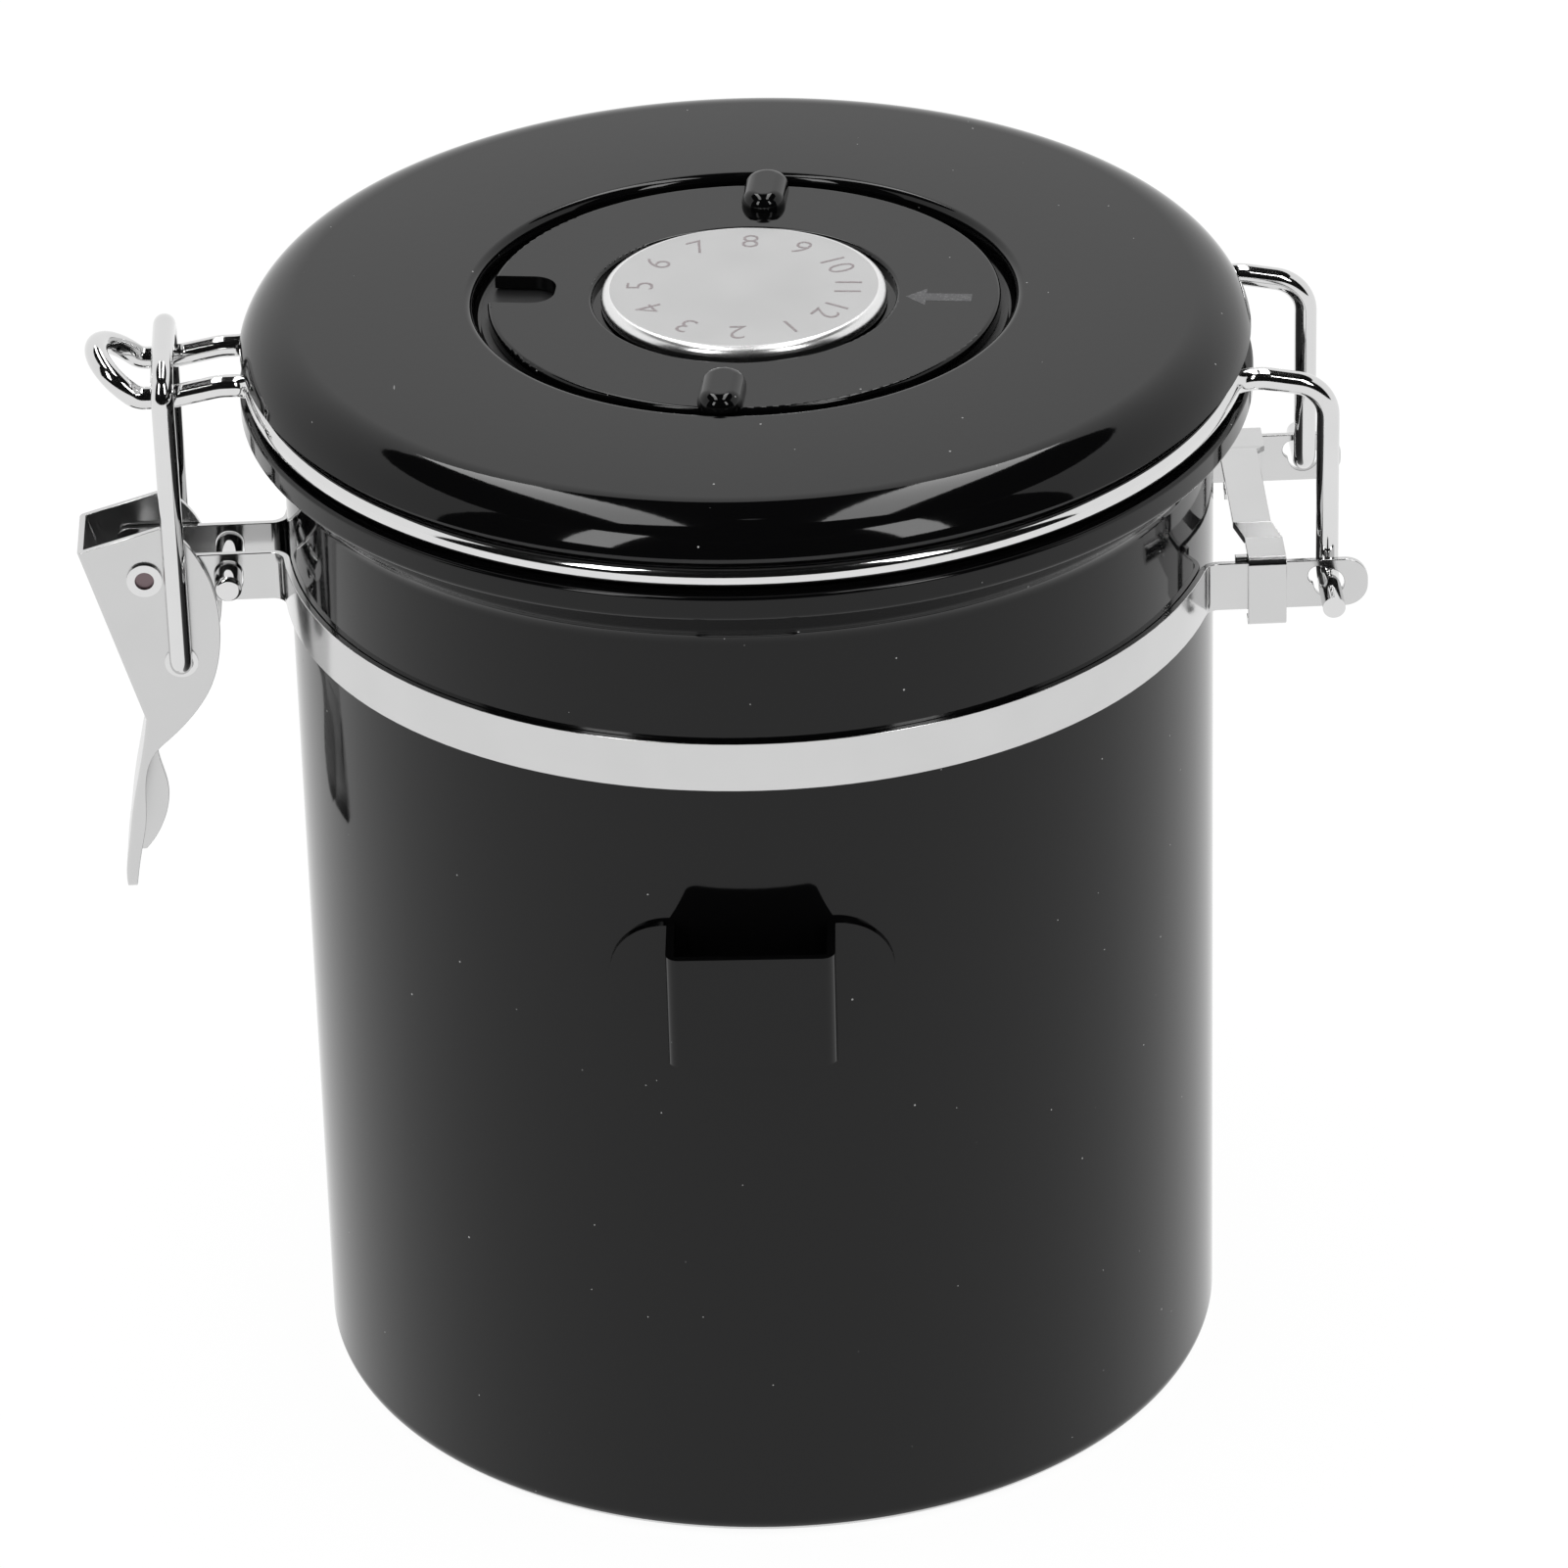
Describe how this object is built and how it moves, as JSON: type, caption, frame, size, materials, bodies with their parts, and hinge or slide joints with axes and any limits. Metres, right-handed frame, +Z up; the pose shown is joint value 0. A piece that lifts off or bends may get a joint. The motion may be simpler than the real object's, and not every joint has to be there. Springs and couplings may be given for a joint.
{
  "type": "coffee canister with valve",
  "caption": "Round black steel canister with a hinged clamp lid, wire and lever latch, turning date dial, scoop bracket and a one-way gas valve in the lid.",
  "frame": {"origin": "centre of the canister's flat underside", "axes": "+Z up along the canister's axis, +X towards the hinge, -X towards the latch, -Y towards the scoop bracket"},
  "size_m": [0.1588, 0.1287, 0.1467],
  "materials": {
    "black_steel": "gloss",
    "clamp_chrome": "polished",
    "band_steel": "satin",
    "dial_steel": "satin",
    "lid_plastic": "matte",
    "seal_rubber": "matte",
    "valve_plastic": "satin",
    "filter_felt": "felt"
  },
  "bodies": {
    "canister": {"canister_body": "black_steel", "scoop_bracket": "black_steel", "band_front": "band_steel", "band_rear": "band_steel", "tension_pin": "clamp_chrome", "hinge_clip": "band_steel", "lever_pivot": "clamp_chrome"},
    "lid": {"lid_wire": "clamp_chrome", "lid_cover": "black_steel", "lid_base": "lid_plastic", "lid_gasket": "seal_rubber", "lid_screws": "clamp_chrome", "dial_bed": "lid_plastic", "valve_body": "valve_plastic", "valve_filter": "filter_felt", "valve_grille": "valve_plastic", "valve_cap": "valve_plastic", "valve_oring": "seal_rubber"},
    "latch_lever": {"latch_lever": "clamp_chrome", "bail_eyelets": "clamp_chrome"},
    "latch_bail": {"latch_bail": "clamp_chrome"},
    "dial_ring": {"dial_ring": "black_steel"},
    "month_disc": {"month_disc": "dial_steel", "disc_clip": "dial_steel"},
    "valve_flap": {"valve_flap": "seal_rubber"}
  },
  "joints": [
    {"name": "lid_hinge", "type": "hinge", "parent": "canister", "child": "lid", "pos_m": [0.0705, 0, 0.1106], "axis": [0, 1, 0], "range_deg": [0, 200]},
    {"name": "lever_turn", "type": "hinge", "parent": "canister", "child": "latch_lever", "pos_m": [-0.0754, 0, 0.1113], "axis": [0, 1, 0], "range_deg": [0, 115]},
    {"name": "bail_turn", "type": "hinge", "parent": "latch_lever", "child": "latch_bail", "pos_m": [-0.0715, 0, 0.0996], "axis": [0, 1, 0], "range_deg": [-85.1, 0]},
    {"name": "dial_ring_turn", "type": "hinge", "parent": "lid", "child": "dial_ring", "pos_m": [0, 0, 0.143], "axis": [0, 0, 1], "continuous": true},
    {"name": "month_disc_turn", "type": "hinge", "parent": "lid", "child": "month_disc", "pos_m": [0, 0, 0.1439], "axis": [0, 0, 1], "continuous": true},
    {"name": "valve_flap_lift", "type": "slide", "parent": "lid", "child": "valve_flap", "axis": [0, 0, 1], "range_m": [0, 0.0004]}
  ],
  "couplings": [
    {"joint": "bail_turn", "follows": "lever_turn", "ratio": -0.74}
  ]
}
